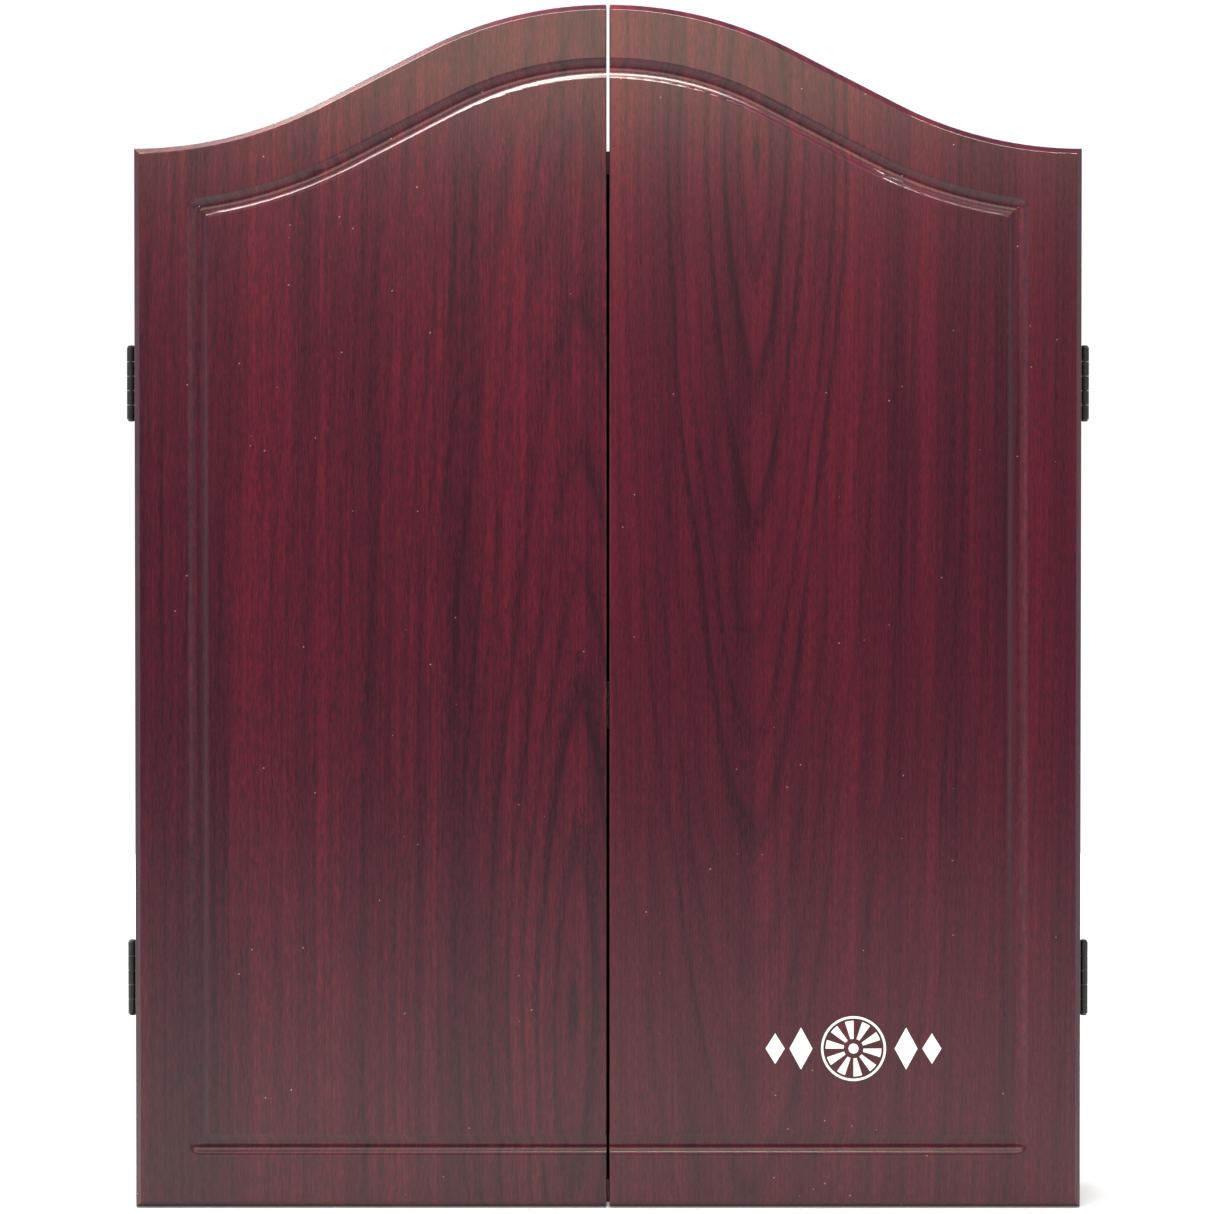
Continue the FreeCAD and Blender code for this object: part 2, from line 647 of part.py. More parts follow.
def door_emblem():
    """A plain printed board symbol with diamonds each side of it."""
    slice_deg = 18.0
    pieces = [ring(EMBLEM_R, EMBLEM_R - 1.2), rod(2.6, Vector(0, 0, 0), Vector(0, -EMBLEM_T, 0))]
    pieces += [sector(14.6, 5.2, 2 * i * slice_deg, slice_deg) for i in range(10)]
    for s in (-1, 1):
        pieces += [lozenge(s * 27.5, 6.0, 11.0), lozenge(s * 41.0, 5.0, 8.0)]
    return [p.translated(Vector(EMBLEM_X, DOOR_FRONT, EMBLEM_Z)) for p in pieces]


# ---------------------------------------------------------------- assembly
def both_sides(name, right):
    """The left and right copies of a node, each as a list of solids."""
    solids = right if isinstance(right, list) else [right]
    return {"left_" + name: [mirrored(s) for s in solids], "right_" + name: solids}


def case_nodes():
    nails, bracket_fixings = back_nails(), bracket_screws()
    case_screws = leaf_screws(on_case=True)
    case_screws_left = case_screws.mirrored()
    housing, magnet, poles, catch_screws = catch_parts()
    catch_screws_left = catch_screws.mirrored()
    dowels = corner_dowels()
    fixings = nails.blanks + dowels
    side = side_board()
    top = end_board(1).cut(fixings + catch_screws.blanks + catch_screws_left.blanks)
    return {
        "left_side_board": [mirrored(side).cut(fixings + case_screws_left.blanks)],
        "right_side_board": [side.cut(fixings + case_screws.blanks)],
        "top_board": [top],
        "bottom_board": [end_board(-1).cut(fixings)],
        "back_panel": [back_panel().cut(nails.blanks + bracket_fixings.blanks)],
        "corner_dowels": dowels,
        "back_panel_nails": nails.solids,
        "wall_screw_washers": wall_washers(),
        "board_bracket": [bracket_fixings.drill(board_bracket())],
        "board_bracket_screws": bracket_fixings.solids,
        "door_bumpers": door_bumpers(),
        "case_hinge_screws": case_screws.solids + case_screws_left.solids,
        "catch_magnets": [magnet, mirrored(magnet)],
        "catch_pole_plates": poles + [mirrored(p) for p in poles],
        "catch_screws": catch_screws.solids + catch_screws_left.solids,
        **both_sides("catch_housing", housing),
    }


def hinge_nodes():
    case_screws, door_screws = leaf_screws(on_case=True), leaf_screws(on_case=False)
    nodes = {}
    for level, z in HINGE_Z.items():
        nodes.update(both_sides(level + "_hinge_case_leaf", case_screws.drill(hinge_leaf(z, True))))
        nodes.update(both_sides(level + "_hinge_door_leaf", door_screws.drill(hinge_leaf(z, False))))
        nodes.update(both_sides(level + "_hinge_pin", hinge_pin(z)))
    nodes.update(both_sides("door_hinge_screws", door_screws.solids))
    return nodes


def door_nodes():
    hinge_screws = leaf_screws(on_case=False)
    score, score_screws = scoreboard_parts()
    rack, rack_screws = rack_parts()
    strike, strike_screws = strike_parts()
    blanks = hinge_screws.blanks + score_screws.blanks + rack_screws.blanks + strike_screws.blanks
    return {
        **both_sides("door_panel", door_panel().cut(blanks)),
        **both_sides("scoreboard", score),
        **both_sides("scoreboard_screws", score_screws.solids),
        **both_sides("dart_rack", rack),
        **both_sides("dart_rack_screws", rack_screws.solids),
        **both_sides("strike_plate", strike),
        **both_sides("strike_plate_screws", strike_screws.solids),
        "right_door_emblem": door_emblem(),
    }


def main():
    os.makedirs("parts", exist_ok=True)
    nodes = {**case_nodes(), **hinge_nodes(), **door_nodes()}
    for name, shapes in nodes.items():
        solids = [solid for shape in shapes for solid in shape.Solids]
        whole = solids[0] if len(solids) == 1 else Part.makeCompound(solids)
        whole.exportStep(os.path.join("parts", name + ".step"))
        state = "valid" if whole.isValid() else "NOT VALID"
        print(f"{name}: {len(solids)} solid(s), {whole.Volume / 1000:.2f} cm3, {state}")
    print(len(nodes), "nodes")


main()
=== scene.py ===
# %% [markdown]
# A dart board cabinet, finished in Blender
#
# The cabinet is a shallow wooden case for a wall. Two arched doors hang on it from black butt
# hinges, and behind them are scoreboards, dart racks and the steel bracket for the board.
# Its design comes in as a fixed frame: every board, hinge and screw is already there at its
# real size. This lesson gives each one its finish, and adds what is only printed on them.

# %% The frame, and the box that the design fills
import json
import math

import bmesh
import bpy
from mathutils import Matrix, Vector


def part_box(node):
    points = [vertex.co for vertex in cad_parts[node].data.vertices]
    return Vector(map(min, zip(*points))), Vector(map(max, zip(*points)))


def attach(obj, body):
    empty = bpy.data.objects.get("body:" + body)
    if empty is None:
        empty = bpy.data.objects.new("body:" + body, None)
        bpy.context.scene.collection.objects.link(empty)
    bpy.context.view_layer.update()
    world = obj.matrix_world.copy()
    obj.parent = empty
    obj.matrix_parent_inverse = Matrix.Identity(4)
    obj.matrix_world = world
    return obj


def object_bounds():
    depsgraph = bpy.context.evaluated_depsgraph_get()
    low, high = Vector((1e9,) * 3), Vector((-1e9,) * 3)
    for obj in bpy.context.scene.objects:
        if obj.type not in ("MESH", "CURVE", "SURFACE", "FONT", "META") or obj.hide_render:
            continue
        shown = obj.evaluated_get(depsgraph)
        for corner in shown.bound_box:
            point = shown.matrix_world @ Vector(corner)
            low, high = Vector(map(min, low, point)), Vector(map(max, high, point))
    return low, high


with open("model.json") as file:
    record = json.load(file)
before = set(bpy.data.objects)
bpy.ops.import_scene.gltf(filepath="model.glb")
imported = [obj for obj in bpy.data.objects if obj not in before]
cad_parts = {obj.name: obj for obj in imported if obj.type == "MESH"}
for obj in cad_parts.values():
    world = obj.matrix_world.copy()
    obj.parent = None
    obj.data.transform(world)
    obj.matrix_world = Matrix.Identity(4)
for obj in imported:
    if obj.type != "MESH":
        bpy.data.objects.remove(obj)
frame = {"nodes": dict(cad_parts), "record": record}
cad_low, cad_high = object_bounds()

MM = 0.001  # the design is in metres
parts = frame["nodes"]
record = frame["record"]
slot_of = {entry["node"]: entry["material_slot"] for entry in record["subparts"]}
size = cad_high - cad_low
print(f"{len(parts)} parts, {size.x:.3f} x {size.y:.3f} x {size.z:.3f} m")


# %% [markdown]
# Wiring a material by hand takes many clicks, and in code it takes many lines. A few small
# helpers keep it short. The first adds a node, sets its options and fills its sockets with
# numbers or with other nodes' outputs. Each of the others stands for one kind of node that is
# used often, such as a step of arithmetic or a mix of two colours.

# %% Helpers that add nodes
def add(tree, kind, sockets=None, **options):
    made = tree.nodes.new(kind)
    for option, value in options.items():
        setattr(made, option, value)
    for socket, value in (sockets or {}).items():
        if isinstance(value, bpy.types.NodeSocket):
            tree.links.new(value, made.inputs[socket])
        else:
            made.inputs[socket].default_value = value
    return made


def calc(tree, how, *values):
    """One step of arithmetic on numbers, or on other nodes' outputs."""
    return add(tree, "ShaderNodeMath", dict(enumerate(values)), operation=how).outputs[0]


def product(tree, first, *others):
    """All the values multiplied together."""
    for other in others:
        first = calc(tree, "MULTIPLY", first, other)
    return first


def mix(tree, factor, first, second):
    """Two colours mixed: a factor of 0 gives the first, and 1 the second."""
    sockets = {0: factor, 6: first, 7: second}
    return add(tree, "ShaderNodeMix", sockets, data_type="RGBA").outputs[2]


def ramp(tree, value, low, high, to_low=0.0, to_high=1.0):
    """Maps a stretch of values smoothly on to another stretch."""
    sockets = {0: value, 1: low, 2: high, 3: to_low, 4: to_high}
    return add(tree, "ShaderNodeMapRange", sockets, interpolation_type="SMOOTHSTEP").outputs[0]


def noise(tree, vector, scale=1.0, detail=2.0, roughness=0.5):
    sockets = {"Vector": vector, "Scale": scale, "Detail": detail, "Roughness": roughness}
    return add(tree, "ShaderNodeTexNoise", sockets).outputs[0]


def noise_along(tree, value, detail=2.0, roughness=0.5):
    """Noise that varies along one number only, such as a distance in millimetres."""
    sockets = {"W": value, "Scale": 1.0, "Detail": detail, "Roughness": roughness}
    return add(tree, "ShaderNodeTexNoise", sockets, noise_dimensions="1D").outputs[0]


def colour(red, green, blue):
    return (red, green, blue, 1.0)


print("helpers ready")


# %% [markdown]
# Several finishes share an effect, such as grain or dust. Each effect is a node group with
# named sockets, built once and then placed in each material with that material's own values.
# A group here gives only numbers and masks, so that the shader stays in the material.

# %% A helper that starts a node group
def new_group(name, inputs, outputs):
    """An empty group: inputs are (name, default) pairs, where a tuple is a vector."""
    group = bpy.data.node_groups.new(name, "ShaderNodeTree")
    for label, default in inputs:
        kind = "NodeSocketVector" if isinstance(default, tuple) else "NodeSocketFloat"
        made = group.interface.new_socket(label, in_out="INPUT", socket_type=kind)
        made.default_value = default
    for label in outputs:
        group.interface.new_socket(label, in_out="OUTPUT", socket_type="NodeSocketFloat")
    ends = group.nodes.new("NodeGroupInput"), group.nodes.new("NodeGroupOutput")
    return group, ends[0].outputs, ends[1].inputs


def place(tree, group, **sockets):
    """A group placed in a material; an underscore in a socket's name stands for a space."""
    made = add(tree, "ShaderNodeGroup", node_tree=group)
    for socket, value in sockets.items():
        name = socket.replace("_", " ").capitalize()
        if isinstance(value, bpy.types.NodeSocket):
            tree.links.new(value, made.inputs[name])
        else:
            made.inputs[name].default_value = value
    return made.outputs


# %% [markdown]
# The doors are board wrapped in a printed foil that copies flat-sawn mahogany. On a real
# flat-sawn board, the saw cuts the tree's rings at a shallow slope, so they show as long
# arches near the middle and as straight lines at the sides. A stretched wave texture gives
# only lines. So this group works out how far each point is from the tree's heart, which is
# the length of (sideways distance, depth of the cut), and counts the rings out to there.

# %% The grain of the mahogany foil
POINTED = 1.55  # 2 gives round arches, and 1 gives pointed ones


def build_grain():
    """All its lengths are in millimetres."""
    inputs = [
        ("Position", (0.0, 0.0, 0.0)), ("Across", (1.0, 0.0, 0.0)), ("Along", (0.0, 0.0, 1.0)),
        ("Centre", 0.0), ("Depth", 30.0), ("Taper", 0.1), ("Ring", 9.0), ("Seed", 0.0),
        ("Shade", -0.03),
    ]
    group, given, result = new_group("mahogany grain", inputs, ["Tone", "Pores"])

    def measured(direction):
        """How far along a direction a point lies."""
        both = {0: given["Position"], 1: direction}
        metres = add(group, "ShaderNodeVectorMath", both, operation="DOT_PRODUCT").outputs[1]
        return calc(group, "MULTIPLY", metres, 1 / MM)

    def spread(wide, tall, shift, **kind):
        """Noise whose spots are so wide and so tall; each use has its own shift."""
        sockets = {
            0: calc(group, "DIVIDE", across, wide),
            1: calc(group, "ADD", given["Seed"], shift),
            2: calc(group, "DIVIDE", along, tall),
        }
        return noise(group, add(group, "ShaderNodeCombineXYZ", sockets).outputs[0], **kind)

    def sway(value, swing):
        """Turns noise into a shift to either side."""
        return calc(group, "MULTIPLY", calc(group, "SUBTRACT", value, 0.5), swing)

    across, along = measured(given["Across"]), measured(given["Along"])

    # The distance from the heart of a trunk that sways, counted in rings.
    slow = sway(spread(150, 700, 1.0), 26.0)
    quick = sway(spread(30, 150, 2.0, detail=3.0), 7.0)
    swayed = calc(group, "ADD", across, calc(group, "ADD", slow, quick))
    sideways = calc(group, "SUBTRACT", swayed, given["Centre"])
    depth = calc(group, "MULTIPLY_ADD", along, given["Taper"], given["Depth"])
    powers = [calc(group, "POWER", calc(group, "ABSOLUTE", leg), POINTED) for leg in (sideways, depth)]
    distance = calc(group, "POWER", calc(group, "ADD", *powers), 1 / POINTED)
    radius = calc(group, "DIVIDE", distance, given["Ring"])

    # A ring starts sharply and fades outwards. The fibres make its edge ragged.
    fibres = ramp(group, spread(0.75, 6, 6.0, detail=3.0, roughness=0.8), 0.3, 0.7)
    drift = calc(group, "MULTIPLY_ADD", radius, 0.4, calc(group, "MULTIPLY", given["Seed"], 17.0))
    uneven = calc(group, "SUBTRACT", noise_along(group, drift), 0.5)
    ragged = calc(group, "MULTIPLY_ADD", fibres, 0.16, uneven)
    turn = calc(group, "FRACT", calc(group, "ADD", radius, ragged))
    line = product(group, ramp(group, turn, 0.0, 0.14), ramp(group, turn, 0.14, 0.6, 1.0, 0.0))

    # Some rings are faint, and all are fainter in patches and away from the heart.
    faint = ramp(group, noise_along(group, calc(group, "MULTIPLY", drift, 2.3)), 0.35, 0.62, 0.4, 1.0)
    patchy = ramp(group, spread(30, 90, 3.0, detail=2.0), 0.3, 0.6, 0.5, 1.0)
    near_heart = ramp(group, radius, 3.0, 12.0, 1.0, 0.4)
    rings = product(group, line, faint, patchy, near_heart)

    streaks = ramp(group, spread(14, 800, 4.0, detail=4.0, roughness=0.56), 0.3, 0.7)
    zones = ramp(group, spread(60, 500, 5.0, detail=2.0), 0.3, 0.7)
    strands = ramp(group, spread(1.7, 230, 8.0, detail=2.0, roughness=0.7), 0.3, 0.7)
    tone = given["Shade"]
    for share, part in ((-0.44, rings), (0.3, streaks), (0.16, zones), (0.5, fibres), (0.24, strands)):
        tone = calc(group, "MULTIPLY_ADD", part, share, tone)
    pores = ramp(group, spread(0.7, 6, 7.0, detail=1.0), 0.57, 0.68)
    group.links.new(tone, result["Tone"])
    group.links.new(pores, result["Pores"])
    return group


grain = build_grain()
print(grain.name, len(grain.nodes), "nodes")


# %% [markdown]
# Worn corners and dust keep a finish from looking like plastic. The Bevel node gives the
# normal that a rounded corner would have, so where it differs from the real normal there is
# an edge. Dust is a scatter of small cells, of which only a few are kept. Brushing is noise
# drawn out along the tool's path, and pebbling is the round cells of an etched mould.

# %% Worn edges, dust, brushing and pebbling
POSITION = ("Position", (0.0, 0.0, 0.0))


def build_edges():
    inputs = [POSITION, ("Radius", 0.8 * MM), ("Wear", 0.5)]
    group, given, result = new_group("worn edges", inputs, ["Mask"])
    rounded = add(group, "ShaderNodeBevel", {"Radius": given["Radius"]}, samples=4).outputs[0]
    flat = add(group, "ShaderNodeNewGeometry").outputs["Normal"]
    both = {0: rounded, 1: flat}
    alike = add(group, "ShaderNodeVectorMath", both, operation="DOT_PRODUCT").outputs[1]
    corner = ramp(group, alike, 0.99, 0.9)
    patchy = ramp(group, noise(group, given["Position"], scale=260.0, detail=4.0), 0.35, 0.65)
    group.links.new(product(group, corner, patchy, given["Wear"]), result["Mask"])
    return group


def build_dust():
    """Cells is how many fit in a metre, Speck is a part of a cell, and Share is how many stay."""
    inputs = [POSITION, ("Cells", 90.0), ("Speck", 0.06), ("Share", 0.1)]
    group, given, result = new_group("dust specks", inputs, ["Mask"])
    cells = add(group, "ShaderNodeTexVoronoi", {"Vector": given["Position"], "Scale": given["Cells"]})
    near = calc(group, "LESS_THAN", cells.outputs["Distance"], given["Speck"])
    pick = add(group, "ShaderNodeSeparateColor", {0: cells.outputs["Color"]}).outputs[0]
    kept = calc(group, "LESS_THAN", pick, given["Share"])
    group.links.new(product(group, near, kept), result["Mask"])
    return group


def build_brushing():
    inputs = [POSITION, ("Stretch", (60.0, 1500.0, 1500.0))]
    group, given, result = new_group("brushed streaks", inputs, ["Height"])
    both = {0: given["Position"], 1: given["Stretch"]}
    stretched = add(group, "ShaderNodeVectorMath", both, operation="MULTIPLY").outputs[0]
    group.links.new(noise(group, stretched, detail=3.0, roughness=0.7), result["Height"])
    return group


def build_pebbles():
    inputs = [POSITION, ("Scale", 1200.0)]
    group, given, result = new_group("moulded pebbles", inputs, ["Height"])
    sockets = {"Vector": given["Position"], "Scale": given["Scale"]}
    cells = add(group, "ShaderNodeTexVoronoi", sockets, feature="SMOOTH_F1")
    group.links.new(ramp(group, cells.outputs["Distance"], 0.1, 0.6), result["Height"])
    return group


edges, dust, brushing, pebbles = build_edges(), build_dust(), build_brushing(), build_pebbles()
print("effects:", [g.name for g in (edges, dust, brushing, pebbles)])


# %% [markdown]
# Each material starts the same way: a Principled shader, its output, and Object coordinates.
# Numbers that are the same all over the surface go straight on the shader.

# %% A helper that starts a material
def new_material(name, **shader):
    material = bpy.data.materials.new(name)
    material.use_nodes = True
    tree = material.node_tree
    principled = tree.nodes["Principled BSDF"]
    for socket, value in shader.items():
        principled.inputs[socket.replace("_", " ")].default_value = value
    place_on_piece = add(tree, "ShaderNodeTexCoord").outputs["Object"]
    return material, tree, principled.inputs, place_on_piece


def bump(tree, height, depth, strength):
    """A normal from a height between 0 and 1, where depth is in metres."""
    sockets = {"Height": height, "Distance": depth, "Strength": strength}
    return add(tree, "ShaderNodeBump", sockets).outputs[0]


def axis(tree, vector, letter):
    return add(tree, "ShaderNodeSeparateXYZ", {0: vector}).outputs["XYZ".index(letter)]


print("materials can start")


# %% [markdown]
# The foil itself is wine red with purple-brown rings and fine dark pores, under a thin satin
# lacquer. The lacquer is the shader's coat: it is smoother than the foil below it, so corners
# catch a sharp line of light while the flat of a door only gets a haze. A door's back and the
# inside of the case have the same print, but each board has its own place in the tree: where
# its heart lies, how deep the saw went, how fast the trunk tapers, and how far apart its
# rings are. An image of real wood would be quicker, but it would repeat from board to board.

# %% The mahogany foil
RAW_EDGE_DEPTH = 0.4 * MM  # the case's boards are bare where they meet the wall
FOIL_SHADES = (  # tone, then the colour printed there
    (0.1, (0.018, 0.0028, 0.0082)),
    (0.38, (0.033, 0.0042, 0.0122)),
    (0.6, (0.050, 0.0057, 0.0154)),
    (0.88, (0.080, 0.0078, 0.0160)),
)
PORE = colour(0.022, 0.004, 0.009)
LINT = colour(0.55, 0.45, 0.45)


def foil_colour(tree, tone):
    shades = add(tree, "ShaderNodeValToRGB", {0: tone})
    stops = shades.color_ramp.elements
    shades.color_ramp.interpolation = "EASE"
    for index, (at, tint) in enumerate(FOIL_SHADES):
        stop = stops[index] if index < 2 else stops.new(at)
        stop.position = at
        stop.color = colour(*tint)
    return shades.outputs[0]


def mahogany(name, raw_back=False, **figure):
    material, tree, shader, position = new_material(
        name, Specular_IOR_Level=0.14, Coat_Weight=0.62, Coat_Roughness=0.18, Coat_IOR=1.45
    )
    wood = place(tree, grain, position=position, **figure)
    specks = place(tree, dust, position=position, cells=150.0, speck=0.055, share=0.16)["Mask"]
    printed = mix(tree, product(tree, wood["Pores"], 0.5), foil_colour(tree, wood["Tone"]), PORE)
    face = mix(tree, product(tree, specks, 0.35), printed, LINT)
    if raw_back:
        behind = calc(tree, "GREATER_THAN", axis(tree, position, "Y"), -RAW_EDGE_DEPTH)
        fibre = ramp(tree, noise(tree, position, scale=900.0, detail=4.0, roughness=0.7), 0.3, 0.7)
        board = mix(tree, fibre, colour(0.20, 0.115, 0.055), colour(0.34, 0.21, 0.11))
        face = mix(tree, behind, face, board)
    tree.links.new(face, shader["Base Color"])
    satin = ramp(tree, wood["Tone"], 0.2, 0.8, 0.33, 0.28)
    tree.links.new(calc(tree, "MULTIPLY_ADD", wood["Pores"], 0.06, satin), shader["Roughness"])
    pits = calc(tree, "SUBTRACT", 1.0, wood["Pores"])
    tree.links.new(bump(tree, pits, 0.02 * MM, 0.35), shader["Normal"])
    return material


# Across a board, the figure is read at x + y or x - y, so that it runs on round the edges.
upright = dict(across=(1.0, 1.0, 0.0))
level = dict(across=(0.0, 1.0, 1.0), along=(1.0, 0.0, 0.0))
case_figure = dict(raw_back=True, taper=0.1, ring=8.0)
foil = {
    "right_door_panel": mahogany("mahogany right door", centre=-13.0, depth=34.3, taper=-0.125,
                                 ring=7.5, seed=3.0, **upright),
    "left_door_panel": mahogany("mahogany left door", centre=75.0, depth=20.0, taper=0.115,
                                ring=8.6, seed=8.4, shade=-0.07, across=(1.0, -1.0, 0.0)),
    "right_side_board": mahogany("mahogany right side", centre=420.0, depth=60.0, seed=11.0,
                                 **upright, **case_figure),
    "left_side_board": mahogany("mahogany left side", centre=-560.0, depth=60.0, seed=14.0,
                                **upright, **case_figure),
    "top_board": mahogany("mahogany top", centre=90.0, depth=50.0, seed=17.0, **level, **case_figure),
    "bottom_board": mahogany("mahogany bottom", centre=-420.0, depth=50.0, seed=21.0,
                             **level, **case_figure),
}
print(len(foil), "foils")


# %% [markdown]
# The hinges are stamped steel under black paint, which has rubbed thin at the knuckles'
# corners. The bracket, screws, washers and strike plates are bright zinc, brushed by the
# tool that formed them. One flat grey would do for parts this small, but up close the wear
# and the brushing are what tells painted steel from plated steel.

# %% Metals
def black_steel():
    material, tree, shader, position = new_material("black hinge paint", Specular_IOR_Level=0.5)
    worn = place(tree, edges, position=position, radius=0.5 * MM, wear=0.55)["Mask"]
    mottle = noise(tree, position, scale=320.0, detail=4.0, roughness=0.65)
    paint = mix(tree, mottle, colour(0.003, 0.003, 0.006), colour(0.009, 0.009, 0.015))
    tree.links.new(mix(tree, worn, paint, colour(0.32, 0.32, 0.34)), shader["Base Color"])
    tree.links.new(worn, shader["Metallic"])
    tree.links.new(ramp(tree, mottle, 0.3, 0.7, 0.3, 0.44), shader["Roughness"])
    tree.links.new(bump(tree, mottle, 0.03 * MM, 0.3), shader["Normal"])
    return material


def zinc_steel():
    material, tree, shader, position = new_material("bright zinc", Metallic=1.0)
    streaks = place(tree, brushing, position=position, stretch=(70.0, 900.0, 1500.0))["Height"]
    cloud = noise(tree, position, scale=60.0, detail=3.0)
    tone = calc(tree, "MULTIPLY_ADD", streaks, 0.6, product(tree, cloud, 0.4))
    zinc = mix(tree, tone, colour(0.42, 0.42, 0.44), colour(0.74, 0.73, 0.70))
    tree.links.new(zinc, shader["Base Color"])
    tree.links.new(ramp(tree, tone, 0.3, 0.7, 0.26, 0.42), shader["Roughness"])
    tree.links.new(bump(tree, streaks, 0.02 * MM, 0.4), shader["Normal"])
    return material


metals = {"black_hinge_steel": black_steel(), "zinc_steel": zinc_steel()}
print("metals:", sorted(metals))


# %% [markdown]
# What is left is plastic, rubber, print, plain wood and the back board. The back board has
# two faces: the one inside the case is printed dark, and the one to the wall is bare
# hardboard, with the marks of the screen it was pressed on. The material tells them apart by
# the side of the board's middle that a point is on.

# %% Plastics, rubber, print, back board and dowels
SCREEN_PITCH = 2.4 * MM  # the screen's threads are this far apart
BACK_MIDDLE = -2.5 * MM  # half way through the panel


def moulded(name, low, high, roughness, pebble_scale, depth):
    material, tree, shader, position = new_material(name)
    height = place(tree, pebbles, position=position, scale=pebble_scale)["Height"]
    cloud = noise(tree, position, scale=45.0, detail=3.0)
    tree.links.new(mix(tree, cloud, colour(*low), colour(*high)), shader["Base Color"])
    satin = ramp(tree, height, 0.0, 1.0, roughness + 0.06, roughness - 0.04)
    tree.links.new(satin, shader["Roughness"])
    tree.links.new(bump(tree, height, depth, 0.5), shader["Normal"])
    return material


def back_board():
    material, tree, shader, position = new_material("back board", Specular_IOR_Level=0.3)
    wood = place(tree, grain, position=position, centre=40.0, depth=70.0, taper=0.12, ring=10.0,
                 seed=31.0)
    printed = mix(tree, wood["Tone"], colour(0.012, 0.006, 0.006), colour(0.05, 0.016, 0.014))

    fibre = noise(tree, position, scale=420.0, detail=6.0, roughness=0.8)
    cloud = noise(tree, position, scale=16.0, detail=6.0, roughness=0.7)
    blotch = ramp(tree, cloud, 0.3, 0.7, 0.35, 0.65)
    speckled = calc(tree, "MULTIPLY_ADD", ramp(tree, fibre, 0.35, 0.65), 0.6, product(tree, blotch, 0.4))
    bare = mix(tree, speckled, colour(0.125, 0.068, 0.034), colour(0.24, 0.145, 0.08))

    turns = [product(tree, axis(tree, position, letter), math.tau / SCREEN_PITCH) for letter in "XZ"]
    threads = calc(tree, "MAXIMUM", *[calc(tree, "SINE", turn) for turn in turns])
    screen = calc(tree, "MULTIPLY_ADD", threads, 0.25, 0.5)

    behind = calc(tree, "GREATER_THAN", axis(tree, position, "Y"), BACK_MIDDLE)
    tree.links.new(mix(tree, behind, printed, bare), shader["Base Color"])
    tree.links.new(ramp(tree, fibre, 0.3, 0.7, 0.62, 0.8), shader["Roughness"])
    relief = calc(tree, "MULTIPLY_ADD", screen, behind, product(tree, fibre, 0.5))
    tree.links.new(bump(tree, relief, 0.1 * MM, 0.5), shader["Normal"])
    return material


def beech():
    material, tree, shader, position = new_material("beech dowel", Roughness=0.6)
    wood = place(tree, grain, position=position, ring=2.0, seed=41.0, **level)
    pale = mix(tree, wood["Tone"], colour(0.42, 0.27, 0.14), colour(0.62, 0.45, 0.27))
    tree.links.new(pale, shader["Base Color"])
    return material


def white_transfer():
    material, tree, shader, position = new_material("white transfer", Roughness=0.42)
    blot = noise(tree, position, scale=900.0, detail=3.0)
    white = mix(tree, blot, colour(0.80, 0.80, 0.80), colour(0.92, 0.92, 0.92))
    tree.links.new(white, shader["Base Color"])
    tree.links.new(bump(tree, blot, 0.02 * MM, 0.3), shader["Normal"])
    return material


def wipe_clean_sheet():
    material, tree, shader, position = new_material(
        "wipe-clean sheet", Coat_Weight=0.3, Coat_Roughness=0.12
    )
    smear = noise(tree, position, scale=14.0, detail=5.0, roughness=0.65)
    chalky = ramp(tree, smear, 0.4, 0.9)
    black = mix(tree, chalky, colour(0.010, 0.011, 0.010), colour(0.035, 0.037, 0.035))
    tree.links.new(black, shader["Base Color"])
    tree.links.new(ramp(tree, smear, 0.3, 0.7, 0.22, 0.4), shader["Roughness"])
    return material


finishes = {
    **metals,
    "back_board": back_board(),
    "beech_dowel": beech(),
    "catch_plastic": moulded("brown catch plastic", (0.035, 0.018, 0.011), (0.055, 0.028, 0.017),
                             roughness=0.45, pebble_scale=1400.0, depth=0.03 * MM),
    "rack_plastic": moulded("black rack plastic", (0.012, 0.012, 0.013), (0.022, 0.022, 0.023),
                            roughness=0.48, pebble_scale=1100.0, depth=0.06 * MM),
    "ferrite_magnet": moulded("ferrite", (0.025, 0.025, 0.028), (0.05, 0.05, 0.055),
                              roughness=0.6, pebble_scale=2600.0, depth=0.03 * MM),
    "bumper_rubber": moulded("bumper rubber", (0.02, 0.02, 0.02), (0.035, 0.034, 0.033),
                             roughness=0.7, pebble_scale=3000.0, depth=0.03 * MM),
    "scoreboard_sheet": wipe_clean_sheet(),
    "white_print": white_transfer(),
}
print("finishes:", sorted(finishes))


# %% [markdown]
# Every part of the design names what it is made of. The parts could be dressed one by one, but
# a loop can't forget any of them: a wrapped board takes its own foil, and each other part
# takes the finish that goes by the name of its material.

# %% Each part of the frame gets its finish
for name, part in parts.items():
    finish = foil.get(name) or finishes[slot_of[name]]
    part.data.materials.clear()
    part.data.materials.append(finish)
print("finished", len(parts), "parts")


# %% [markdown]
# The scoreboards are printed with rules, a column of numbers and a ring for the bull. Print
# is thin, but a real layer of it catches the light at its edges, so it is made as flat
# pieces a tenth of a millimetre thick rather than painted in the material. Each one is a
# single mesh of bars, rings and numbers that rides on its door.

# %% Helpers for print
PRINT_T = 0.1 * MM
BOLDER = 0.012  # how far a number's outline grows, as a part of its height
WELD = 0.001 * MM  # a number's front, back and sides are joined where they meet


def finished_piece(name, mesh, material, body):
    """Links a mesh that is already in place, gives it its finish, and puts it on its body."""
    mesh.materials.clear()
    mesh.materials.append(material)
    piece = bpy.data.objects.new(name, mesh)
    bpy.context.scene.collection.objects.link(piece)
    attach(piece, body)
    return piece


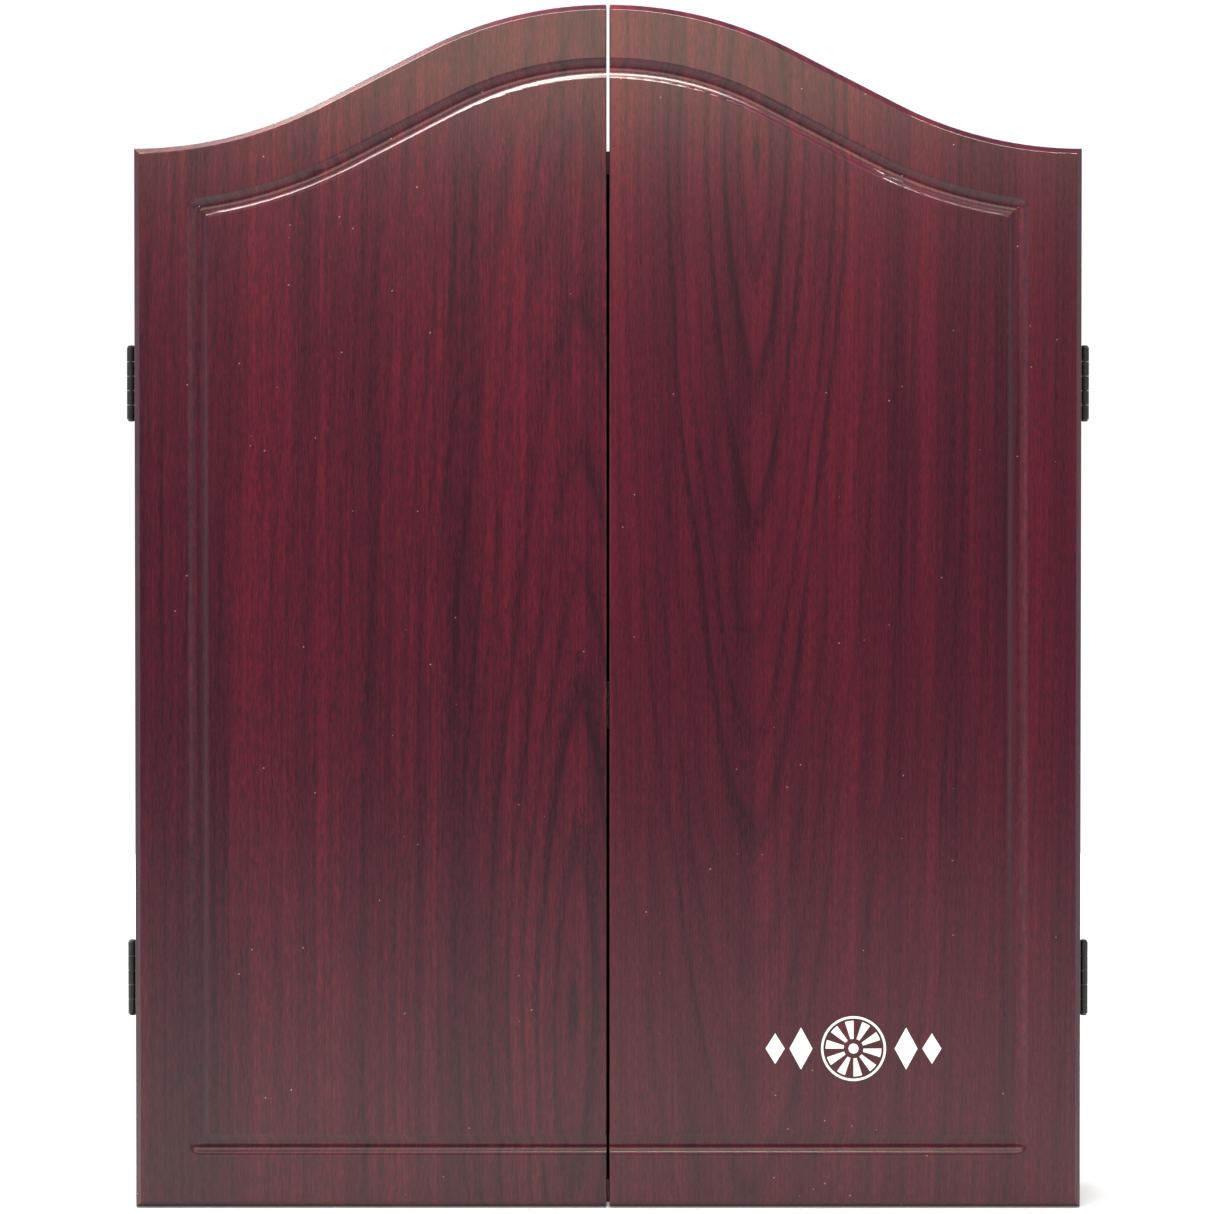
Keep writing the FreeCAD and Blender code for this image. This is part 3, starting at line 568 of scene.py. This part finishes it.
def add_bar(bm, low, high):
    """A thin bar between two corners."""
    cube = bmesh.ops.create_cube(bm, size=1.0)["verts"]
    span = [end - start for start, end in zip(low, high)]
    middle = [(start + end) / 2 for start, end in zip(low, high)]
    bmesh.ops.scale(bm, vec=span, verts=cube)
    bmesh.ops.translate(bm, vec=middle, verts=cube)


def add_ring(bm, centre, outer, inner, thickness, steps=48):
    """A flat ring, facing +Y, with its back at the centre's y."""
    x, y, z = centre
    corners = ((inner, 0.0), (outer, 0.0), (outer, thickness), (inner, thickness))
    section = [bm.verts.new((x + radius, y + out, z)) for radius, out in corners]
    loop = [bm.edges.new((section[i - 1], section[i])) for i in range(4)]
    bmesh.ops.spin(bm, geom=section + loop, cent=centre, axis=(0, 1, 0), angle=math.tau,
                   steps=steps, use_merge=True)


def add_number(bm, text, height, at):
    """A number that reads from inside the case, from +Y, with its middle at a point."""
    curve = bpy.data.curves.new("number", "FONT")
    curve.body = text
    curve.size = height
    curve.align_x = "CENTER"
    curve.align_y = "CENTER"
    curve.extrude = PRINT_T / 2
    curve.offset = height * BOLDER
    holder = bpy.data.objects.new("number", curve)
    bpy.context.scene.collection.objects.link(holder)
    bpy.context.view_layer.update()
    built = holder.evaluated_get(bpy.context.evaluated_depsgraph_get())
    mesh = bpy.data.meshes.new_from_object(built)
    turn = Matrix.Rotation(math.pi, 4, "Z") @ Matrix.Rotation(math.pi / 2, 4, "X")
    mesh.transform(Matrix.Translation(at) @ turn)
    others = len(bm.verts)
    bm.from_mesh(mesh)
    bm.verts.ensure_lookup_table()
    bmesh.ops.remove_doubles(bm, verts=bm.verts[others:], dist=WELD)
    bpy.data.objects.remove(holder)
    bpy.data.curves.remove(curve)
    bpy.data.meshes.remove(mesh)


print("print helpers ready, layer", PRINT_T, "m")


# %% [markdown]
# A real scoreboard is screen printed in one pass: a border, two upright rules that make the
# column of numbers, and a level rule for each row. Nothing here is placed by hand. All of it is
# worked out from the sheet's own size, so both doors get the same print, each on its own body.

# %% The print on both scoreboards
RULE = 0.9 * MM
MARGIN = 14 * MM
HEADER = 30 * MM
COLUMN = 30 * MM
NUMBER_H = 17 * MM
BULL_RINGS = ((9 * MM, 7.4 * MM), (4.2 * MM, 2.4 * MM))  # outer and inner radius
SUNK = 0.02 * MM  # print reaches into the sheet, so no gap shows
LOWER = 0.01 * MM  # level rules, where they cross the upright ones
ROWS = ("20", "19", "18", "17", "16", "15", "bull")


def scoreboard_print(side):
    low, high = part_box(f"{side}_scoreboard")
    face, back = high.y, high.y - SUNK
    front = face + PRINT_T
    left, right = low.x + MARGIN, high.x - MARGIN
    bottom, top = low.z + MARGIN, high.z - MARGIN
    centre = (low.x + high.x) / 2
    row_h = (top - bottom - HEADER) / len(ROWS)
    bm = bmesh.new()
    for x in (left, centre - COLUMN / 2, centre + COLUMN / 2, right):
        add_bar(bm, (x - RULE / 2, back, bottom), (x + RULE / 2, front, top))
    lines = [top] + [top - HEADER - row * row_h for row in range(len(ROWS) + 1)]
    for z in lines:
        add_bar(bm, (left, back, z - RULE / 2), (right, front - LOWER, z + RULE / 2))
    for row, label in enumerate(ROWS):
        z = top - HEADER - (row + 0.5) * row_h
        if label == "bull":
            for outer, inner in BULL_RINGS:
                add_ring(bm, (centre, back, z), outer, inner, front - back)
        else:
            add_number(bm, label, NUMBER_H, (centre, face + PRINT_T / 2, z))
    bmesh.ops.recalc_face_normals(bm, faces=bm.faces)
    mesh = bpy.data.meshes.new(f"{side}_scoreboard_print")
    bm.to_mesh(mesh)
    bm.free()
    return finished_piece(mesh.name, mesh, finishes["white_print"], f"{side}_door")


for side in ("left", "right"):
    piece = scoreboard_print(side)
    print(piece.name, len(piece.data.polygons), "faces")


# %% [markdown]
# The studio is plain: a pale floor, soft lights and a white surround that is dim straight
# ahead of the doors, where the camera stands. The flat doors mirror that dim patch, so they
# stay rich and dark in the middle, and the strip in front gives them a haze towards the top.
# The overhead light is wide but not deep, so it draws one bright line along the arched groove.

# %% The floor, a disc that glows with painted light, more towards its rim, so it fades to white there
FLOOR_R = 2.2
FLOOR_Z = cad_low.z - 0.5 * MM

bm = bmesh.new()
bmesh.ops.create_circle(bm, cap_ends=True, segments=96, radius=FLOOR_R)
bmesh.ops.translate(bm, vec=(0, 0, FLOOR_Z), verts=bm.verts)
floor_mesh = bpy.data.meshes.new("floor")
bm.to_mesh(floor_mesh)
bm.free()
floor = bpy.data.objects.new("floor", floor_mesh)
bpy.context.scene.collection.objects.link(floor)


def pale_glowing_floor():
    material, tree, shader, position = new_material(
        "pale glowing floor", Roughness=0.8, Emission_Strength=1.0
    )
    mottle = noise(tree, position, scale=3.0)
    pale = mix(tree, mottle, colour(0.58, 0.59, 0.61), colour(0.63, 0.64, 0.66))
    tree.links.new(pale, shader["Base Color"])
    out = add(tree, "ShaderNodeVectorMath", {0: position}, operation="LENGTH").outputs[1]
    # Painted glow: the floor gives off light of its own, faint near the cabinet and stronger towards the
    # rim, and it also lights the cabinet's bottom edges.
    glow = ramp(tree, out, 0.5 * FLOOR_R, 0.97 * FLOOR_R, 0.22, 0.8)
    tree.links.new(glow, shader["Emission Color"])
    return material


floor_mesh.materials.append(pale_glowing_floor())
print("floor at", round(FLOOR_Z, 4))


# %% [markdown]
# Each light is a rectangle, as a studio's softbox is, because a glossy edge shows the
# shape of what it mirrors: a point or a sun would leave only a dot or a hard glint. The third
# one stands behind the cabinet and whitens the floor there.

# %% Lights
def softbox(name, at, towards, width, depth, power, tint):
    data = bpy.data.lights.new(name, "AREA")
    data.shape = "RECTANGLE"
    data.size = width
    data.size_y = depth
    data.energy = power
    data.color = tint
    lamp = bpy.data.objects.new(name, data)
    lamp.location = at
    lamp.visible_camera = False
    lamp.rotation_euler = (Vector(towards) - Vector(at)).to_track_quat("-Z", "Y").to_euler()
    bpy.context.scene.collection.objects.link(lamp)
    return lamp


softbox("overhead", at=(-0.3, -0.26, 0.98), towards=(-0.2, -0.08, 0.1),
        width=1.4, depth=0.21, power=41.0, tint=(1.0, 0.93, 0.80))
softbox("strip in front", at=(0.0, -1.0, 0.57), towards=(0.0, -0.08, 0.3),
        width=1.5, depth=0.34, power=6.9, tint=(1.0, 0.95, 0.66))
softbox("over the back", at=(0.0, 1.3, 1.2), towards=(0.0, 1.2, -0.3),
        width=2.2, depth=1.0, power=42.0, tint=(1.0, 1.0, 1.0))
lamps = [lamp.name for lamp in bpy.context.scene.objects if lamp.type == "LIGHT"]
print("lights:", lamps)


# %% [markdown]
# The surround could be one even white, but then the doors would mirror it all over and look
# grey. So it lights the cabinet according to direction: hardly at all from a narrow patch
# straight ahead, more from around and behind, and most from the two sides. Where the camera
# looks straight at it, it is plain white.

# %% The surround
AHEAD = 0.012
AROUND = 0.38
BESIDE = 0.6
SEEN = 1.05
SQUEEZE = (1.9, 0.0, 1.0)  # makes the dim patch taller than it is wide

world = bpy.data.worlds.new("studio")
bpy.context.scene.world = world
world.use_nodes = True
sky = world.node_tree
direction = add(sky, "ShaderNodeTexCoord").outputs["Generated"]
both = {0: direction, 1: SQUEEZE}
squeezed = add(sky, "ShaderNodeVectorMath", both, operation="MULTIPLY").outputs[0]
aside = add(sky, "ShaderNodeVectorMath", {0: squeezed}, operation="LENGTH").outputs[1]
behind = ramp(sky, axis(sky, direction, "Y"), -0.3, 0.0)
around = ramp(sky, calc(sky, "MAXIMUM", aside, behind), 0.12, 0.7, AHEAD, AROUND)
beside = ramp(sky, calc(sky, "ABSOLUTE", axis(sky, direction, "X")), 0.6, 0.95, 0.0, BESIDE)
surround = calc(sky, "ADD", around, beside)
seen = add(sky, "ShaderNodeLightPath").outputs["Is Camera Ray"]
unseen = calc(sky, "SUBTRACT", 1.0, seen)
strength = calc(sky, "MULTIPLY_ADD", seen, SEEN, product(sky, surround, unseen))
sky.links.new(strength, sky.nodes["Background"].inputs["Strength"])
sky.nodes["Background"].inputs["Color"].default_value = colour(1.0, 1.0, 1.0)
bpy.context.scene.view_settings.view_transform = "Standard"
print("surround from", AHEAD, "to", AROUND + BESIDE)


# %% [markdown]
# The camera looks at the closed doors straight on, from a little above their middle. A long
# lens from nearly two metres away keeps their edges parallel, where a short lens close by
# would make the doors bulge. The lens is worked out from what the frame has to take in.

# %% The camera, square to the doors and a little above their middle
FRAME_HEIGHT = 0.634  # what the camera takes in at the doors
DISTANCE = 1.9
AIM = Vector((-0.5 * MM, cad_low.y, 37.6 * MM))
TILT = math.radians(0.9)
SENSOR = 36.0  # millimetres, and the lens too

camera_data = bpy.data.cameras.new("camera")
camera_data.sensor_width = SENSOR
camera_data.lens = SENSOR * DISTANCE / FRAME_HEIGHT
camera = bpy.data.objects.new("camera", camera_data)
camera.location = AIM + Vector((0.0, -math.cos(TILT), math.sin(TILT))) * DISTANCE
camera.rotation_euler = (AIM - camera.location).to_track_quat("-Z", "Y").to_euler()
bpy.context.scene.collection.objects.link(camera)
bpy.context.scene.camera = camera
print("camera", camera.location, "lens", round(camera_data.lens, 1))
